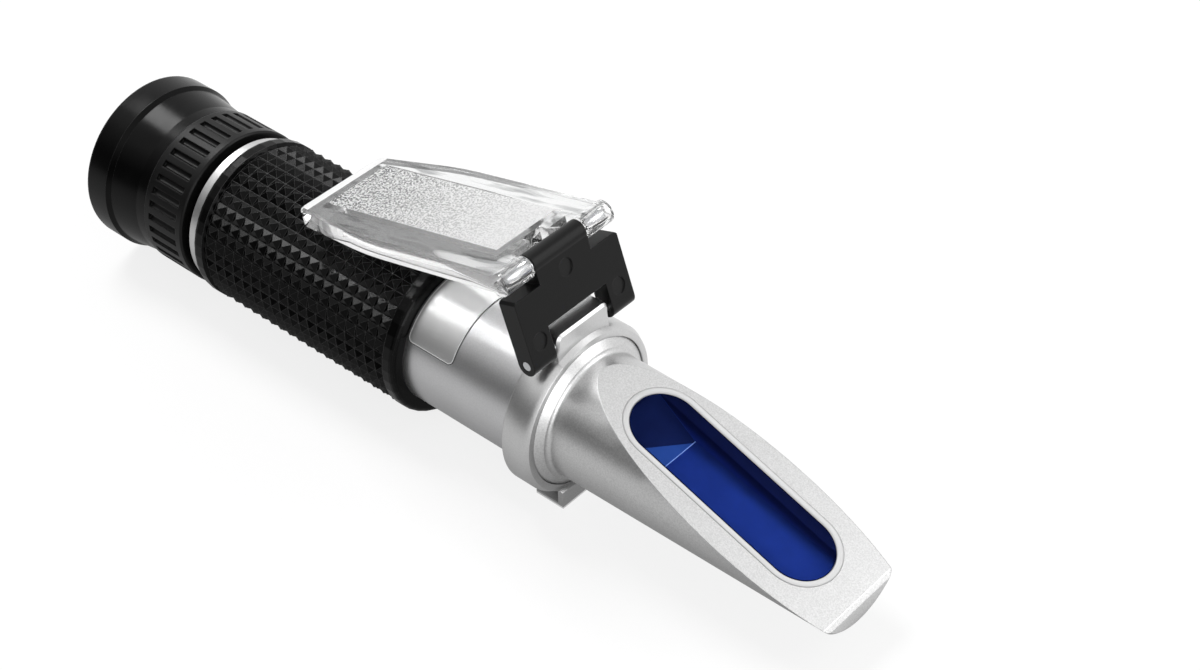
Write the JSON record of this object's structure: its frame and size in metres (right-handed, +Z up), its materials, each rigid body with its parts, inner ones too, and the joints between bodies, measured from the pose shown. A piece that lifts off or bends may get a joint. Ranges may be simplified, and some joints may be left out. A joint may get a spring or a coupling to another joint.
{
  "type": "hand refractometer",
  "caption": "Hand-held brix refractometer with a rubber grip, a sloping prism window under a hinged daylight plate, a focusing eyepiece and a rubber eyecup.",
  "frame": {"origin": "centre of the bounding box's underside: on the surface the instrument lies on, below the optical axis, halfway along its length", "axes": "+X along the optical axis from the eyecup to the prism head, +Z up from the foot, +Y to the left of someone looking through the eyepiece"},
  "size_m": [0.1608, 0.0314, 0.0476],
  "materials": {
    "satin_aluminium": "bead blasted, satin anodised",
    "black_rubber": "matte, moulded",
    "black_plastic": "satin moulded",
    "clear_plastic": "clear, with a frosted pad on the inner face",
    "pale_sealant": "satin",
    "blue_glass": "polished face over blue paint",
    "optical_glass": "polished",
    "steel": "plain",
    "bimetal": "plain",
    "dark_aluminium": "black anodised"
  },
  "bodies": {
    "base": {"body_tube": "satin_aluminium", "grip_sleeve": "black_rubber", "hinge_collar": "satin_aluminium", "prism_head": "satin_aluminium", "measuring_prism": "blue_glass", "prism_seal": "pale_sealant", "head_o_ring": "black_rubber", "lower_hinge_pin": "steel", "lens_mount": "dark_aluminium", "strip_screws": "steel", "light_baffle": "dark_aluminium", "reticle": "optical_glass", "reticle_holder": "dark_aluminium", "reticle_ring": "dark_aluminium", "eyepiece_socket": "satin_aluminium"},
    "link": {"hinge_link": "black_plastic", "upper_hinge_pin": "steel"},
    "cover": {"daylight_plate": "clear_plastic"},
    "calibration": {"calibration_screw": "steel"},
    "lens_carrier": {"bimetal_strip": "bimetal", "cell_screws": "steel", "lens_cell": "dark_aluminium", "objective_lens": "optical_glass", "lens_ring": "dark_aluminium"},
    "eyepiece": {"lens_barrel": "dark_aluminium", "guide_pin": "steel", "field_lens": "optical_glass", "lens_spacer": "dark_aluminium", "eye_lens": "optical_glass", "eye_lens_ring": "dark_aluminium", "snap_ring": "steel"},
    "focus": {"focus_ring": "black_plastic", "eyecup": "black_rubber"}
  },
  "joints": [
    {"name": "cover_link_swing", "type": "hinge", "parent": "base", "child": "link", "pos_m": [0.0239, 0, 0.0319], "axis": [0, 1, 0], "range_deg": [0, 131]},
    {"name": "cover_plate_swing", "type": "hinge", "parent": "link", "child": "cover", "pos_m": [0.01911, 0, 0.04564], "axis": [0, 1, 0], "range_deg": [0, 82.8]},
    {"name": "calibration_turn", "type": "hinge", "parent": "base", "child": "calibration", "pos_m": [0.0143, 0, 0.0262], "axis": [0, 0, 1], "range_deg": [-180, 180]},
    {"name": "lens_carrier_tilt", "type": "hinge", "parent": "base", "child": "lens_carrier", "pos_m": [-0.00495, 0, 0.02375], "axis": [0, 1, 0], "range_deg": [-0.6, 0.6]},
    {"name": "eyepiece_slide", "type": "slide", "parent": "base", "child": "eyepiece", "axis": [1, 0, 0], "range_m": [-0.00075, 0.00075]},
    {"name": "focus_turn", "type": "hinge", "parent": "eyepiece", "child": "focus", "pos_m": [-0.0612, 0, 0.01575], "axis": [1, 0, 0], "range_deg": [-180, 180]}
  ],
  "couplings": [
    {"joint": "focus_turn", "follows": "eyepiece_slide", "rad_per_m": 4188},
    {"joint": "calibration_turn", "follows": "lens_carrier_tilt", "ratio": 299.9}
  ]
}
